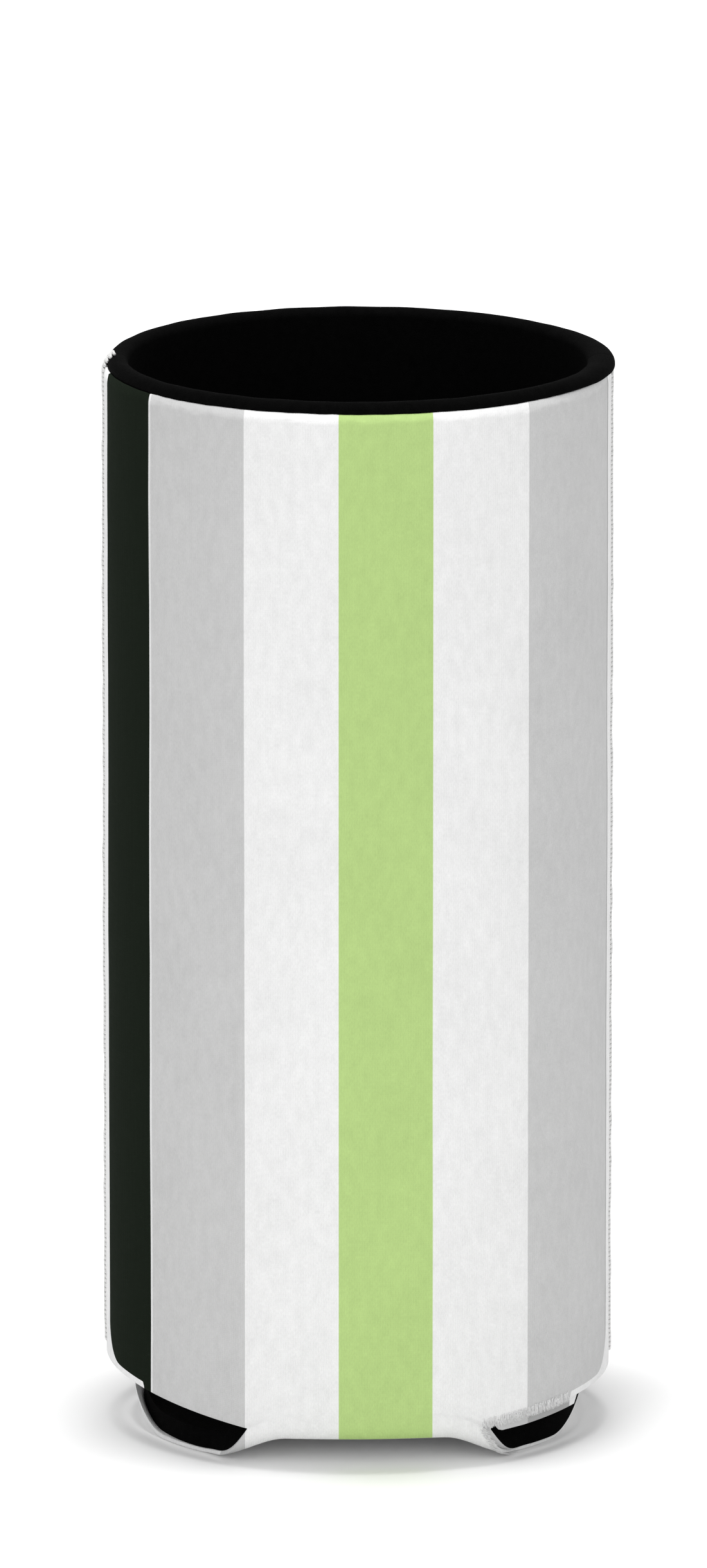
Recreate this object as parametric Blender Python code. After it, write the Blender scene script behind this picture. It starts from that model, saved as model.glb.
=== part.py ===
"""Folded sleeve that keeps one slim drink can cold. Metres, +Z up, front towards -Y.

One laminated sheet, a knit cover bonded to black rubber foam, is cut to a front panel, a
round base and a back panel, joined by two short necks. It is folded up into a cup whose two
side edges butt together, and a thread seam closes each side. The cup stands on z = 0.
"""
import math

import bmesh
import bpy

# Thickness of the sheet, from its outer face inwards
COVER_THICKNESS = 0.0005
LAYER_CLEARANCE = 0.0003
FOAM_THICKNESS = 0.0022

# Folded cup
WALL_RADIUS = 0.0314
SLEEVE_HEIGHT = 0.1350
CREASE_RADIUS = 0.0003

# Mouth of the cup: the foam's cut edge swells into a dome that overhangs the cover's edge
FOAM_RIM_HEIGHT = 0.0012
COVER_RIM_DROP = 0.0014
COVER_RIM_HEIGHT = 0.0012
COVER_RIM_LEAN = 0.00012

# Round base and the two tips of it that curl up under the side seams
BASE_EDGE_CLEARANCE = 0.0006
TIP_CURL_HEIGHT = 0.0034
TIP_CURL_REACH = 0.0036

# Necks between the base and the panels, and the arch that they pull into the base
NECK_HALF_WIDTH = 0.0146
NECK_FLARE = 0.0045
NECK_FLARE_POWER = 1.6
ARCH_HEIGHT = 0.0040
ARCH_START = 0.0100
ARCH_HALF_WIDTH = 0.0091
ARCH_FADE = 0.0094

# Lower edge of the panels, at the notch beside a neck and at a side seam
NOTCH_HEIGHT = 0.0051
SIDE_EDGE_HEIGHT = 0.0080
PANEL_CORNER_RADIUS = 0.0020

# Band of overcast thread along each side, between the cover's two edges
SEAM_WIDTH = 0.0028
SEAM_PROUD = 0.0003
SEAM_END_ROUND = 0.0012
FOAM_BUTT_GAP = 0.0003

# Upright stripes of a panel: how far each edge between two stripes lies to the right of the
# panel's middle on the flat cut, and the white margin that the print leaves beside a seam
STRIPE_EDGES = (-0.03056, -0.01473, -0.00244, 0.00946, 0.02311)
STRIPE_INKS = ("white", "dark", "grey", "white", "green", "white", "grey", "white")
PRINT_MARGIN = 0.0055

# Mesh steps
SPOKE_STEP = math.radians(7.5)
FLARE_STEPS = 7
FLAT_RINGS = 5
HEEL_RINGS = 4
WALL_ROWS = 4
FOAM_RIM_STEPS = 8
COVER_RIM_STEPS = 3
SEAM_ARC_STEPS = 8
SEAM_ROUND_STEPS = 5
SEAM_BODY_STEPS = 4
SHARP_ANGLE = math.radians(35)

# Sizes that follow from the ones above
FOAM_DEPTH = COVER_THICKNESS + LAYER_CLEARANCE
SHEET_THICKNESS = FOAM_DEPTH + FOAM_THICKNESS
HEEL_RADIUS = SHEET_THICKNESS + CREASE_RADIUS
HEEL_START = WALL_RADIUS - HEEL_RADIUS
HEEL_END = HEEL_START + HEEL_RADIUS * math.pi / 2
BASE_RADIUS = WALL_RADIUS - SHEET_THICKNESS - BASE_EDGE_CLEARANCE
COVER_SIDE_GAP = SEAM_WIDTH + 2 * LAYER_CLEARANCE
COVER_TOP = SLEEVE_HEIGHT - COVER_RIM_DROP
NECK_AZIMUTH = math.asin(NECK_HALF_WIDTH / WALL_RADIUS)
FLARE_AZIMUTH = math.asin((NECK_HALF_WIDTH + NECK_FLARE) / BASE_RADIUS)
QUARTER_TURN = math.pi / 2
PRINT_EDGE = QUARTER_TURN * WALL_RADIUS - PRINT_MARGIN
PRINT_BOUNDARIES = (-PRINT_EDGE, *STRIPE_EDGES, PRINT_EDGE)
ANGLE_MARGIN = 1e-9


def smooth_step(value, start, end):
    """Rise from 0 at start to 1 at end, level at both."""
    share = min(max((value - start) / (end - start), 0.0), 1.0)
    return share * share * (3.0 - 2.0 * share)


def arch_lift(x, y):
    """How far the necks hold the base off the ground at a place."""
    rise = smooth_step(abs(y), ARCH_START, WALL_RADIUS)
    fade = 1.0 - smooth_step(abs(x), ARCH_HALF_WIDTH, ARCH_HALF_WIDTH + ARCH_FADE)
    return ARCH_HEIGHT * rise * fade


def tip_curl(x):
    """How far the base's left and right tips turn up."""
    past = max(abs(x) - (BASE_RADIUS - TIP_CURL_REACH), 0.0)
    return TIP_CURL_HEIGHT * (past / TIP_CURL_REACH) ** 2


def front_angle(azimuth):
    """Angle from the middle of the nearer panel, 0 to a quarter turn."""
    turned = abs(math.remainder(azimuth, 2 * math.pi))
    return min(turned, math.pi - turned)


def place(azimuth, radius, height):
    """Point of the folded sheet. The arch squeezes the wall above it and leaves the rim alone."""
    x = radius * math.sin(azimuth)
    y = -radius * math.cos(azimuth)
    lift = arch_lift(x, y) * (1.0 - height / SLEEVE_HEIGHT)
    return (x, y, height + lift)


def base_point(azimuth, run, depth):
    """Point of the base or heel. Run is the distance from the middle along the outer face."""
    if run <= HEEL_START:
        radius = run
        height = depth
    else:
        turn = (run - HEEL_START) / HEEL_RADIUS
        radius = HEEL_START + (HEEL_RADIUS - depth) * math.sin(turn)
        height = HEEL_RADIUS - (HEEL_RADIUS - depth) * math.cos(turn)
    x, y, z = place(azimuth, radius, height)
    return (x, y, z + tip_curl(x))


def panel_edge_height(azimuth):
    """Height of a panel's lower edge before the arch lifts it, with a round corner at a seam."""
    angle = front_angle(azimuth)
    share = (angle - NECK_AZIMUTH) / (QUARTER_TURN - NECK_AZIMUTH)
    ease = math.sin(QUARTER_TURN * min(max(share, 0.0), 1.0))
    height = NOTCH_HEIGHT + (SIDE_EDGE_HEIGHT - NOTCH_HEIGHT) * ease
    from_seam = (QUARTER_TURN - angle) * WALL_RADIUS
    into_corner = max(PANEL_CORNER_RADIUS - from_seam, 0.0)
    corner = PANEL_CORNER_RADIUS - math.sqrt(PANEL_CORNER_RADIUS ** 2 - into_corner ** 2)
    lift = arch_lift(WALL_RADIUS * math.sin(azimuth), WALL_RADIUS * math.cos(azimuth))
    return (height + corner - lift) / (1.0 - lift / SLEEVE_HEIGHT)


def notch_run():
    """Run at which the base's edge meets the panel's lower edge, at the notch's point."""
    height = panel_edge_height(NECK_AZIMUTH)
    if height >= HEEL_RADIUS:
        return HEEL_END + height - HEEL_RADIUS
    return HEEL_START + HEEL_RADIUS * math.acos(1.0 - height / HEEL_RADIUS)


def base_edge_run(azimuth):
    """Run of the base's cut edge: a circle that flares into each neck."""
    angle = front_angle(azimuth)
    if angle <= NECK_AZIMUTH:
        return NOTCH_RUN
    share = min((angle - NECK_AZIMUTH) / (FLARE_AZIMUTH - NECK_AZIMUTH), 1.0)
    return BASE_RADIUS + (NOTCH_RUN - BASE_RADIUS) * (1.0 - share) ** NECK_FLARE_POWER


NOTCH_RUN = notch_run()


def half_turn_spokes():
    """Azimuths from the left seam to the right one, with one on each corner and stripe."""
    stripes = [boundary / WALL_RADIUS for boundary in PRINT_BOUNDARIES]
    corners = [-QUARTER_TURN, 0.0, QUARTER_TURN]
    for side in (-1, 1):
        corners += [side * NECK_AZIMUTH, side * FLARE_AZIMUTH]
    corners = sorted(corners + stripes)
    spokes = []
    for low, high in zip(corners, corners[1:]):
        middle = abs(low + high) / 2
        steps = math.ceil((high - low) / SPOKE_STEP)
        if NECK_AZIMUTH < middle < FLARE_AZIMUTH:
            steps = max(steps, FLARE_STEPS)
        spokes += [low + (high - low) * step / steps for step in range(steps)]
    return spokes + [QUARTER_TURN]


def ring_shares():
    """How far along its spoke each ring of the base lies, from the level middle to the edge."""
    runs = []
    for step in range(FLAT_RINGS):
        runs.append(ARCH_START + (HEEL_START - ARCH_START) * step / FLAT_RINGS)
    for step in range(HEEL_RINGS + 1):
        runs.append(HEEL_START + (NOTCH_RUN - HEEL_START) * step / HEEL_RINGS)
    return [(run - ARCH_START) / (NOTCH_RUN - ARCH_START) for run in runs]


def cover_rim():
    """Depth and height up the cover's outer face, which leans in, and down its inner face."""
    steps = [step / COVER_RIM_STEPS for step in range(COVER_RIM_STEPS + 1)]
    heights = [COVER_TOP - COVER_RIM_HEIGHT * (1.0 - step) for step in steps]
    outer = [(COVER_RIM_LEAN * step ** 2, height) for step, height in zip(steps, heights)]
    inner = [(COVER_THICKNESS, height) for height in reversed(heights)]
    return outer + inner


def foam_rim():
    """Depth and height over the foam's rim, out over the cover's edge and down to the lining."""
    shoulder = COVER_TOP + LAYER_CLEARANCE
    centre = SLEEVE_HEIGHT - FOAM_RIM_HEIGHT
    first = math.asin(max(shoulder - centre, 0.0) / FOAM_RIM_HEIGHT)
    path = [(FOAM_DEPTH, COVER_TOP - COVER_RIM_HEIGHT), (FOAM_DEPTH, shoulder)]
    for step in range(FOAM_RIM_STEPS + 1):
        turn = first + (math.pi - first) * step / FOAM_RIM_STEPS
        depth = SHEET_THICKNESS / 2 * (1.0 - math.cos(turn))
        path.append((depth, centre + FOAM_RIM_HEIGHT * math.sin(turn)))
    path.append((SHEET_THICKNESS, COVER_TOP - COVER_RIM_HEIGHT))
    return path


def wall_section(azimuth, outer_depth, inner_depth, rim):
    """Points up the outer face of a panel, over its rim and down its inner face."""
    low = panel_edge_height(azimuth)
    high = COVER_TOP - COVER_RIM_HEIGHT
    heights = [low + (high - low) * row / WALL_ROWS for row in range(WALL_ROWS)]
    points = [(outer_depth, height) for height in heights]
    points += rim
    points += [(inner_depth, height) for height in reversed(heights)]
    return [place(azimuth, WALL_RADIUS - depth, height) for depth, height in points]


def close_section(mesh, section):
    """Fill the cut side edge of a panel, pairing its outer and inner points."""
    first = 0
    last = len(section) - 1
    while last - first >= 2:
        corners = [section[first], section[first + 1], section[last - 1], section[last]]
        if last - first == 2:
            corners.pop(2)
        mesh.faces.new(corners)
        first += 1
        last -= 1


def add_base(mesh, spokes, depth):
    """Rings of one face of the base, from its level middle to its cut edge."""
    rings = []
    for share in ring_shares():
        ring = []
        for azimuth in spokes:
            run = ARCH_START + (base_edge_run(azimuth) - ARCH_START) * share
            ring.append(mesh.verts.new(base_point(azimuth, run, depth)))
        rings.append(ring)
    mesh.faces.new(rings[0])
    count = len(spokes)
    for inner_ring, outer_ring in zip(rings, rings[1:]):
        for k in range(count):
            after = (k + 1) % count
            corners = (inner_ring[k], inner_ring[after], outer_ring[after], outer_ring[k])
            mesh.faces.new(corners)
    return rings[-1]


def add_panel(mesh, turn, side_gap, outer_depth, inner_depth, rim, base_edges):
    """One panel, turned to the front or the back, joined to the base across its neck."""
    trim = math.asin(side_gap / 2 / WALL_RADIUS)
    half = half_turn_spokes()
    outer_edge, inner_edge = base_edges
    sections = []
    for index, azimuth in enumerate(half):
        trimmed = min(max(azimuth, trim - QUARTER_TURN), QUARTER_TURN - trim)
        points = wall_section(turn + trimmed, outer_depth, inner_depth, rim)
        between = [mesh.verts.new(point) for point in points[1:-1]]
        if joined_to_base(azimuth):
            section = [outer_edge[index]] + between + [inner_edge[index]]
        else:
            section = [mesh.verts.new(points[0])] + between + [mesh.verts.new(points[-1])]
        sections.append(section)
    for k, (left, right) in enumerate(zip(sections, sections[1:])):
        for row in range(len(left) - 1):
            mesh.faces.new((left[row], right[row], right[row + 1], left[row + 1]))
        if not (joined_to_base(half[k]) and joined_to_base(half[k + 1])):
            mesh.faces.new((left[0], right[0], right[-1], left[-1]))
            mesh.faces.new((outer_edge[k], outer_edge[k + 1], inner_edge[k + 1], inner_edge[k]))
    close_section(mesh, sections[0])
    close_section(mesh, sections[-1])


def joined_to_base(azimuth):
    """Whether a spoke runs through a neck."""
    return front_angle(azimuth) <= NECK_AZIMUTH + ANGLE_MARGIN


def fold_layer(outer_depth, inner_depth, side_gap, rim):
    """One layer of the folded sheet as a closed mesh."""
    mesh = bmesh.new()
    half = half_turn_spokes()
    around = half[:-1] + [azimuth + math.pi for azimuth in half[:-1]]
    outer_edge = add_base(mesh, around, outer_depth)
    inner_edge = add_base(mesh, around, inner_depth)
    for half_index, turn in enumerate((0.0, math.pi)):
        start = half_index * (len(half) - 1)
        picks = [(start + k) % len(around) for k in range(len(half))]
        base_edges = ([outer_edge[k] for k in picks], [inner_edge[k] for k in picks])
        add_panel(mesh, turn, side_gap, outer_depth, inner_depth, rim, base_edges)
    bmesh.ops.recalc_face_normals(mesh, faces=mesh.faces)
    return mesh


def seam_stations():
    """Heights along a seam band, each with how far it swells there, from 0 to 1."""
    foot = panel_edge_height(QUARTER_TURN)
    low = foot + SEAM_END_ROUND
    high = COVER_TOP - SEAM_END_ROUND
    rounds = []
    for step in range(SEAM_ROUND_STEPS):
        turn = QUARTER_TURN * step / SEAM_ROUND_STEPS
        rounds.append((SEAM_END_ROUND * (1.0 - math.cos(turn)), math.sin(turn)))
    stations = [(foot + along, swell) for along, swell in rounds]
    for step in range(SEAM_BODY_STEPS + 1):
        stations.append((low + (high - low) * step / SEAM_BODY_STEPS, 1.0))
    stations += [(COVER_TOP - along, swell) for along, swell in reversed(rounds)]
    return stations


def seam_outline(swell):
    """Section of a seam band: distance along the wall and height above the cover's face."""
    half = SEAM_WIDTH / 2
    outline = [(half, -COVER_THICKNESS), (-half, -COVER_THICKNESS)]
    for step in range(SEAM_ARC_STEPS + 1):
        turn = math.pi * step / SEAM_ARC_STEPS
        fall = WALL_RADIUS - math.sqrt(WALL_RADIUS ** 2 - (half * math.cos(turn)) ** 2)
        outline.append((-half * math.cos(turn), SEAM_PROUD * swell * math.sin(turn) - fall))
    return outline


def seam_mesh(side):
    """Band of thread that closes one side, between the cover's two edges and over the foam."""
    mesh = bmesh.new()
    rows = []
    for height, swell in seam_stations():
        row = []
        for along, proud in seam_outline(swell):
            row.append(mesh.verts.new((side * (WALL_RADIUS + proud), along, height)))
        rows.append(row)
    count = len(rows[0])
    for low_row, high_row in zip(rows, rows[1:]):
        for k in range(count):
            after = (k + 1) % count
            mesh.faces.new((low_row[k], low_row[after], high_row[after], high_row[k]))
    mesh.faces.new(rows[0])
    mesh.faces.new(rows[-1])
    bmesh.ops.recalc_face_normals(mesh, faces=mesh.faces)
    return mesh


def finish(name, colour, roughness, metallic=0.0):
    """Material with a colour as it reads on a screen, 0 to 255."""
    material = bpy.data.materials.new(name)
    material.use_nodes = True
    shader = material.node_tree.nodes["Principled BSDF"]
    linear = [((level / 255 + 0.055) / 1.055) ** 2.4 if level > 10 else level / 255 / 12.92
              for level in colour]
    shader.inputs["Base Color"].default_value = (*linear, 1.0)
    shader.inputs["Roughness"].default_value = roughness
    shader.inputs["Metallic"].default_value = metallic
    return material


def add_node(name, mesh, finishes):
    """Turn a mesh into a named piece of the sleeve, shaded smooth between its sharp edges."""
    data = bpy.data.meshes.new(name)
    mesh.to_mesh(data)
    mesh.free()
    for material in finishes:
        data.materials.append(material)
    data.shade_smooth()
    data.set_sharp_from_angle(angle=SHARP_ANGLE)
    piece = bpy.data.objects.new(name, data)
    bpy.context.collection.objects.link(piece)
    return piece


def print_stripes(mesh, inks):
    """Colour the outer face of both panels in stripes and leave the base blank."""
    print_floor = HEEL_RADIUS / 2
    for face in mesh.faces:
        centre = face.calc_center_median()
        outward = face.normal.x * centre.x + face.normal.y * centre.y
        if centre.z < print_floor or outward <= 0:
            continue
        across = math.remainder(math.atan2(centre.x, -centre.y), math.pi) * WALL_RADIUS
        stripe = sum(1 for boundary in PRINT_BOUNDARIES if across > boundary)
        face.material_index = inks.index(STRIPE_INKS[stripe])


def clear_scene():
    """Start from an empty scene."""
    for piece in list(bpy.data.objects):
        bpy.data.objects.remove(piece, do_unlink=True)


clear_scene()

inks = ("white", "dark", "grey", "green")
ink_colours = ((240, 240, 240), (29, 35, 28), (200, 200, 200), (184, 213, 136))
cover_finishes = [finish("knit_" + ink, colour, 0.85) for ink, colour in zip(inks, ink_colours)]
foam_finish = finish("black_foam", (12, 12, 12), 0.9)
thread_finish = finish("seam_thread", (230, 230, 228), 0.75)

cover_mesh = fold_layer(0.0, COVER_THICKNESS, COVER_SIDE_GAP, cover_rim())
print_stripes(cover_mesh, inks)
add_node("printed_cover", cover_mesh, cover_finishes)
foam_mesh = fold_layer(FOAM_DEPTH, SHEET_THICKNESS, FOAM_BUTT_GAP, foam_rim())
add_node("foam_body", foam_mesh, [foam_finish])
for seam_name, seam_side in (("side_seam_left", -1), ("side_seam_right", 1)):
    add_node(seam_name, seam_mesh(seam_side), [thread_finish])
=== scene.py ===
import math
import random

import bmesh
import bpy
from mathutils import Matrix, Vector, noise


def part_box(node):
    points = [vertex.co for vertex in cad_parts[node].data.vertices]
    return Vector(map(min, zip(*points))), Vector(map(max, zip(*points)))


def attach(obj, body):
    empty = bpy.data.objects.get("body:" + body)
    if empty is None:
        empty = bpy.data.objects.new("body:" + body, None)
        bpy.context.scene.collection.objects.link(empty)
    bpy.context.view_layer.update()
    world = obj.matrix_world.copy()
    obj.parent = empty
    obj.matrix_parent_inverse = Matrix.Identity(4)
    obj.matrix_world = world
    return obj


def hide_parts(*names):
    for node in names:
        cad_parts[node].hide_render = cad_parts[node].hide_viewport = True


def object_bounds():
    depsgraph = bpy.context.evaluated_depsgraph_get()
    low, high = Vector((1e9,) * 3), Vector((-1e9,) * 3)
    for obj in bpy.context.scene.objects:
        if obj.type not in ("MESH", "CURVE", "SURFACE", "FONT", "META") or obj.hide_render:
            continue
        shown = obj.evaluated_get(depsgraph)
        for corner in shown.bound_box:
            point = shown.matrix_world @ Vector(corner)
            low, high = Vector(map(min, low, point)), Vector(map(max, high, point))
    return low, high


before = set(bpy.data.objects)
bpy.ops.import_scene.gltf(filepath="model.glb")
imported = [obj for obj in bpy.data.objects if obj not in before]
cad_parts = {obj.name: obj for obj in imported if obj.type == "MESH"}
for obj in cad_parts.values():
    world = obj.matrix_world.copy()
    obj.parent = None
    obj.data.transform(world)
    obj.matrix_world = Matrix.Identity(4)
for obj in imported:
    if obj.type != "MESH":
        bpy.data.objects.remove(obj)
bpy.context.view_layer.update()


# Knit cover: a fine white polyester knit, half a millimetre thick, printed in upright stripes.
# It is bonded to the foam and cut with it as one flat piece, a front panel, a round base and a
# back panel with two short necks between them, and the piece is folded up into a cup.
MILLIMETRE = 0.001
COVER_THICKNESS = 0.0005
SHEET_THICKNESS = 0.0030
CREASE_RADIUS = 0.0003
WALL_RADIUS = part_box("printed_cover")[1].y
SLEEVE_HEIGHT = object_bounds()[1].z
COVER_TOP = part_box("printed_cover")[1].z

BASE_EDGE_CLEARANCE = 0.0006
TIP_CURL_HEIGHT = 0.0034
TIP_CURL_REACH = 0.0036
NECK_HALF_WIDTH = 0.0146
NECK_FLARE = 0.0045
NECK_FLARE_POWER = 1.6
ARCH_HEIGHT = 0.0040
ARCH_START = 0.0100
ARCH_HALF_WIDTH = 0.0099
ARCH_FADE = 0.0102
NOTCH_HEIGHT = 0.0051
SIDE_EDGE_LEFT = 0.0082
SIDE_EDGE_RIGHT = 0.0067
PANEL_CORNER_RADIUS = 0.0020

# The necks were cut a little to the right of the middle, and the wall above doesn't follow them
NECK_SKEW = math.radians(2.1)
SKEW_FADES_FROM = 0.010
SKEW_FADES_TO = 0.035

HEEL_RADIUS = SHEET_THICKNESS + CREASE_RADIUS
HEEL_START = WALL_RADIUS - HEEL_RADIUS
HEEL_END = HEEL_START + HEEL_RADIUS * math.pi / 2
BASE_RADIUS = WALL_RADIUS - SHEET_THICKNESS - BASE_EDGE_CLEARANCE
NECK_AZIMUTH = math.asin(NECK_HALF_WIDTH / WALL_RADIUS)
FLARE_AZIMUTH = math.asin((NECK_HALF_WIDTH + NECK_FLARE) / BASE_RADIUS)
QUARTER_TURN = math.pi / 2
ANGLE_MARGIN = 1e-9


def smooth_step(value, start, end):
    """Rise from 0 at start to 1 at end, level at both."""
    share = min(max((value - start) / (end - start), 0.0), 1.0)
    return share * share * (3.0 - 2.0 * share)


def arch_lift(x, y):
    """How far the necks hold the base off the table at a place."""
    rise = smooth_step(abs(y), ARCH_START, WALL_RADIUS)
    fade = 1.0 - smooth_step(abs(x), ARCH_HALF_WIDTH, ARCH_HALF_WIDTH + ARCH_FADE)
    return ARCH_HEIGHT * rise * fade


def tip_curl(x):
    """How far the left and right tips of the base turn up."""
    past = max(abs(x) - (BASE_RADIUS - TIP_CURL_REACH), 0.0)
    return TIP_CURL_HEIGHT * (past / TIP_CURL_REACH) ** 2


def front_angle(azimuth):
    """Angle from the middle of the nearer panel, 0 to a quarter turn."""
    turned = abs(math.remainder(azimuth, 2 * math.pi))
    return min(turned, math.pi - turned)


def joined_to_base(azimuth):
    """Whether a spoke runs through a neck."""
    return front_angle(azimuth) <= NECK_AZIMUTH + ANGLE_MARGIN


# Slow waves and fine ripples of the wall, and gathers at each seam, with pitches in millimetres
# across and up. They die out at the foot and are held flatter at the rim. The last number of a
# place in the noise only picks its pattern.
WAVE_DEPTH = 0.00011
WAVE_PITCH = (17.0, 26.0)
RIPPLE_DEPTH = 0.00003
RIPPLE_PITCH = (5.0, 6.5)
GATHER_DEPTH = 0.00012
GATHER_PITCH = 2.6
GATHER_REACH = 0.0034
SWELL_FULL_FROM = 0.020
RIM_HOLDS_FROM = 0.120
RIM_HOLDS_TO = 0.135
RIM_HOLD = 0.6


def wall_swell(azimuth, height):
    """How far the soft wall stands out from a true cylinder: slow waves, and gathers at a seam."""
    across = azimuth * WALL_RADIUS / MILLIMETRE
    up = height / MILLIMETRE
    wave = noise.noise(Vector((across / WAVE_PITCH[0], up / WAVE_PITCH[1], 3.7)))
    ripple = noise.noise(Vector((across / RIPPLE_PITCH[0], up / RIPPLE_PITCH[1], 9.1)))
    from_seam = (QUARTER_TURN - front_angle(azimuth)) * WALL_RADIUS
    nearer_seam = math.copysign(5.0, math.sin(azimuth))
    gather = noise.noise(Vector((nearer_seam, up / GATHER_PITCH, 1.3)))
    near_seam = math.exp(-(from_seam / GATHER_REACH) ** 2)
    held = RIM_HOLD * smooth_step(height, RIM_HOLDS_FROM, RIM_HOLDS_TO)
    settle = smooth_step(height, 0.0, SWELL_FULL_FROM) * (1.0 - held)
    swell = settle * (WAVE_DEPTH * wave + RIPPLE_DEPTH * ripple)
    return swell + near_seam * settle * GATHER_DEPTH * gather


def folded(azimuth, radius, height, aside=0.0):
    """Point of the folded sheet, and the azimuth that it comes to lie at.

    The arch squeezes the wall above it and leaves the rim alone. Aside is a further turn of
    the foot, which one layer of the sheet may have over another.
    """
    foot = 1.0 - smooth_step(height, SKEW_FADES_FROM, SKEW_FADES_TO)
    shifted = azimuth + aside * foot
    lift = arch_lift(radius * math.sin(shifted), radius * math.cos(shifted))
    turned = shifted + NECK_SKEW * math.cos(azimuth) * foot
    z = height + lift * (1.0 - height / SLEEVE_HEIGHT)
    return Vector((radius * math.sin(turned), -radius * math.cos(turned), z)), turned


def wall_point(azimuth, depth, height, aside=0.0):
    """Point of a panel, at a depth in from the outer face of the cover, and its azimuth."""
    radius = WALL_RADIUS - depth + wall_swell(azimuth, height)
    return folded(azimuth, radius, height, aside)


def base_point(azimuth, run, depth, aside=0.0):
    """Point of the base or the heel. Run is the distance from the middle along the outer face."""
    if run <= HEEL_START:
        radius = run
        height = depth
    elif run <= HEEL_END:
        turn = (run - HEEL_START) / HEEL_RADIUS
        radius = HEEL_START + (HEEL_RADIUS - depth) * math.sin(turn)
        height = HEEL_RADIUS - (HEEL_RADIUS - depth) * math.cos(turn)
    else:
        radius = WALL_RADIUS - depth
        height = HEEL_RADIUS + run - HEEL_END
    point, turned = folded(azimuth, radius, height, aside)
    point.z += tip_curl(point.x)
    return point, turned


def panel_edge_height(azimuth):
    """Height of a panel's lower edge before the arch lifts it, with a round corner at a seam."""
    angle = max(front_angle(azimuth), NECK_AZIMUTH)
    share = (angle - NECK_AZIMUTH) / (QUARTER_TURN - NECK_AZIMUTH)
    side_edge = SIDE_EDGE_RIGHT if math.sin(azimuth) > 0.0 else SIDE_EDGE_LEFT
    height = NOTCH_HEIGHT + (side_edge - NOTCH_HEIGHT) * math.sin(QUARTER_TURN * share)
    into_corner = max(PANEL_CORNER_RADIUS - (QUARTER_TURN - angle) * WALL_RADIUS, 0.0)
    corner = PANEL_CORNER_RADIUS - math.sqrt(PANEL_CORNER_RADIUS ** 2 - into_corner ** 2)
    lift = arch_lift(WALL_RADIUS * math.sin(angle), WALL_RADIUS * math.cos(angle))
    return (height + corner - lift) / (1.0 - lift / SLEEVE_HEIGHT)


def notch_run():
    """Run at which the edge of the base meets a panel's lower edge, at the point of a notch."""
    height = panel_edge_height(NECK_AZIMUTH)
    if height >= HEEL_RADIUS:
        return HEEL_END + height - HEEL_RADIUS
    return HEEL_START + HEEL_RADIUS * math.acos(1.0 - height / HEEL_RADIUS)


NOTCH_RUN = notch_run()


def base_edge_run(azimuth):
    """Run of the cut edge of the base: a circle that flares into each neck."""
    angle = front_angle(azimuth)
    if angle <= NECK_AZIMUTH:
        return NOTCH_RUN
    share = min((angle - NECK_AZIMUTH) / (FLARE_AZIMUTH - NECK_AZIMUTH), 1.0)
    return BASE_RADIUS + (NOTCH_RUN - BASE_RADIUS) * (1.0 - share) ** NECK_FLARE_POWER


SPOKE_STEP = math.radians(1.5)
FLARE_STEPS = 14


def panel_spokes():
    """Azimuths across the front panel, from the left seam to the right one."""
    corners = [-QUARTER_TURN, 0.0, QUARTER_TURN]
    for side in (-1, 1):
        corners += [side * NECK_AZIMUTH, side * FLARE_AZIMUTH]
    corners.sort()
    spokes = []
    for low, high in zip(corners, corners[1:]):
        steps = math.ceil((high - low) / SPOKE_STEP)
        if NECK_AZIMUTH < abs(low + high) / 2 < FLARE_AZIMUTH:
            steps = FLARE_STEPS
        spokes += [low + (high - low) * step / steps for step in range(steps)]
    return spokes + [QUARTER_TURN]


FOOT_BAND = 0.014
FOOT_ROWS = 24
WALL_ROWS = 62


def wall_heights(low, high):
    """Heights of the rows up a wall, close together at the foot where the edge curves."""
    middle = low + FOOT_BAND
    heights = [low + FOOT_BAND * row / FOOT_ROWS for row in range(FOOT_ROWS)]
    heights += [middle + (high - middle) * row / WALL_ROWS for row in range(WALL_ROWS)]
    return heights


FLAT_RINGS = 14
HEEL_RINGS = 12


def ring_shares():
    """How far along its spoke each ring of the base lies, from the level middle to the edge."""
    runs = []
    for step in range(FLAT_RINGS):
        runs.append(ARCH_START + (HEEL_START - ARCH_START) * step / FLAT_RINGS)
    for step in range(HEEL_RINGS + 1):
        runs.append(HEEL_START + (NOTCH_RUN - HEEL_START) * step / HEEL_RINGS)
    return [(run - ARCH_START) / (NOTCH_RUN - ARCH_START) for run in runs]


def true_cut(azimuth):
    """How far a layer's cut edge lies past the drawn line: further aside, lower and out."""
    return 0.0, 0.0, 0.0


def new_piece(name, mesh):
    """A finished mesh as an object of the scene, shaded smooth."""
    data = bpy.data.meshes.new(name)
    mesh.to_mesh(data)
    mesh.free()
    data.shade_smooth()
    piece = bpy.data.objects.new(name, data)
    bpy.context.scene.collection.objects.link(piece)
    return piece


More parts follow.
